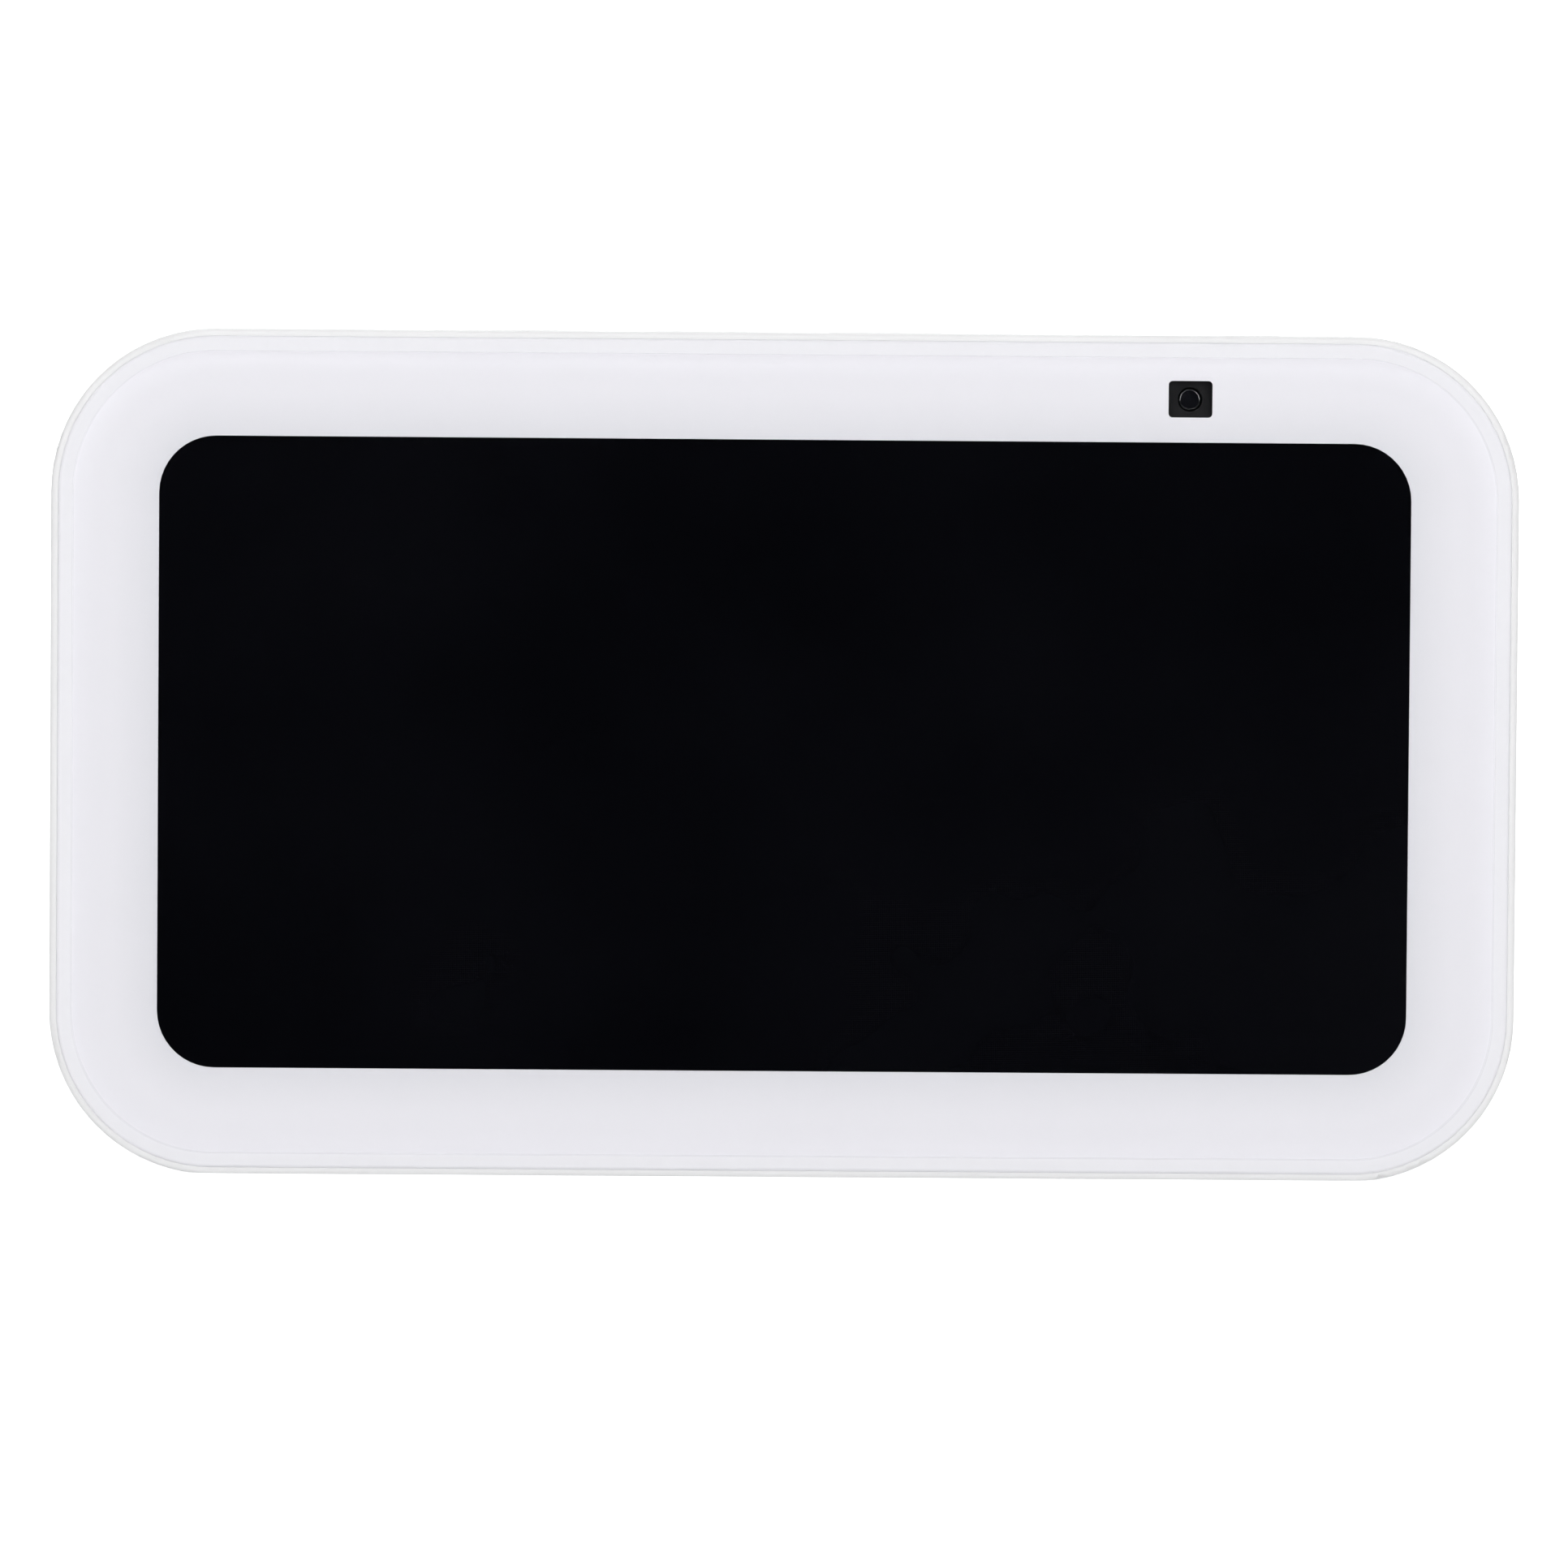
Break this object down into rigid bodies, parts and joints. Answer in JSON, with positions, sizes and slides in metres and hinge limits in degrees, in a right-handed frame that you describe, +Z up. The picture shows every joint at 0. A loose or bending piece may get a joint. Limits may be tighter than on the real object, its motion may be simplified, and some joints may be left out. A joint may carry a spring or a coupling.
{
  "type": "smart speaker",
  "caption": "Countertop smart speaker with a leaning touch screen face, white rim, fabric-covered wedge back, top buttons and camera shutter",
  "frame": {"origin": "centre of the footprint's bounding box, on the table at the underside of the rubber foot", "axes": "+X right as seen from the front, +Y back (the screen faces -Y and leans back 18 degrees), +Z up"},
  "size_m": [0.147, 0.0904, 0.0819],
  "materials": {
    "glass": "gloss",
    "white_print": "satin",
    "display": "gloss",
    "foam": "matte",
    "plated_steel": "satin",
    "screw_steel": "satin",
    "white_moulding": "satin",
    "black_moulding": "matte",
    "lens_glass": "gloss",
    "white_button": "satin",
    "switch_plunger": "satin",
    "board": "satin",
    "silicone": "matte",
    "brass_posts": "satin",
    "aluminium_sheet": "satin",
    "thermal_silicone": "matte",
    "ivory_moulding": "satin",
    "flat_cable": "satin",
    "knit_fabric": "matte",
    "base_moulding": "satin",
    "rubber": "matte",
    "ballast_steel": "matte",
    "black_steel": "satin",
    "surround_rubber": "satin",
    "cone_paper": "matte",
    "coil_copper": "satin",
    "spider_cloth": "matte",
    "magnet_ferrite": "matte",
    "lead_insulation": "satin"
  },
  "bodies": {
    "housing": {"cover_glass": "glass", "decor_film": "white_print", "display_panel": "display", "display_foam": "foam", "display_bracket": "plated_steel", "display_screws": "screw_steel", "front_frame": "white_moulding", "camera_module": "black_moulding", "camera_lens": "lens_glass", "camera_bracket": "plated_steel", "small_screws": "screw_steel", "tact_switches": "plated_steel", "control_board": "board", "microphones": "plated_steel", "microphone_seals": "silicone", "main_board": "board", "board_standoffs": "brass_posts", "heat_spreader": "aluminium_sheet", "board_screws": "screw_steel", "shield_cans": "plated_steel", "processor_chips": "black_moulding", "thermal_pad": "thermal_silicone", "board_connectors": "ivory_moulding", "wifi_antennas": "board", "display_cable": "flat_cable", "controls_cable": "flat_cable", "camera_cable": "flat_cable", "fabric_cover": "knit_fabric", "rear_shell": "white_moulding", "base_plate": "base_moulding", "base_screws": "screw_steel", "rubber_foot": "rubber", "ballast_plate": "ballast_steel", "speaker_box": "black_moulding", "speaker_box_screws": "screw_steel", "speaker_baffle": "black_moulding", "speaker_gasket": "foam", "speaker_basket": "black_steel", "speaker_screws": "screw_steel", "speaker_surround": "surround_rubber", "speaker_spider": "spider_cloth", "speaker_top_plate": "plated_steel", "speaker_magnet": "magnet_ferrite", "speaker_yoke": "plated_steel", "port_collar": "base_moulding", "dc_jack": "black_moulding", "inlet_board": "board", "inlet_screws": "screw_steel", "speaker_lead": "lead_insulation", "power_lead": "lead_insulation"},
    "shutter": {"shutter_slider": "white_moulding"},
    "mute_key": {"button_mute": "white_button", "plunger_mute": "switch_plunger"},
    "volume_down_key": {"button_volume_down": "white_button", "plunger_volume_down": "switch_plunger"},
    "volume_up_key": {"button_volume_up": "white_button", "plunger_volume_up": "switch_plunger"},
    "diaphragm": {"speaker_cone": "cone_paper", "dust_cap": "cone_paper", "voice_coil": "coil_copper"}
  },
  "joints": [
    {"name": "shutter_slide", "type": "slide", "parent": "housing", "child": "shutter", "axis": [-1, 0, 0], "range_m": [0, 0.0062]},
    {"name": "mute_press", "type": "slide", "parent": "housing", "child": "mute_key", "axis": [0, -0.309, -0.9511], "range_m": [0, 0.0005], "stiffness_N_per_m": 1500, "springref_m": -0.0003},
    {"name": "volume_down_press", "type": "slide", "parent": "housing", "child": "volume_down_key", "axis": [0, -0.309, -0.9511], "range_m": [0, 0.0005], "stiffness_N_per_m": 1500, "springref_m": -0.0003},
    {"name": "volume_up_press", "type": "slide", "parent": "housing", "child": "volume_up_key", "axis": [0, -0.309, -0.9511], "range_m": [0, 0.0005], "stiffness_N_per_m": 1500, "springref_m": -0.0003},
    {"name": "cone_travel", "type": "slide", "parent": "housing", "child": "diaphragm", "axis": [0, 0.7547, 0.6561], "range_m": [-0.0015, 0.0015], "stiffness_N_per_m": 1500, "deforming": ["speaker_surround", "speaker_spider"]}
  ]
}
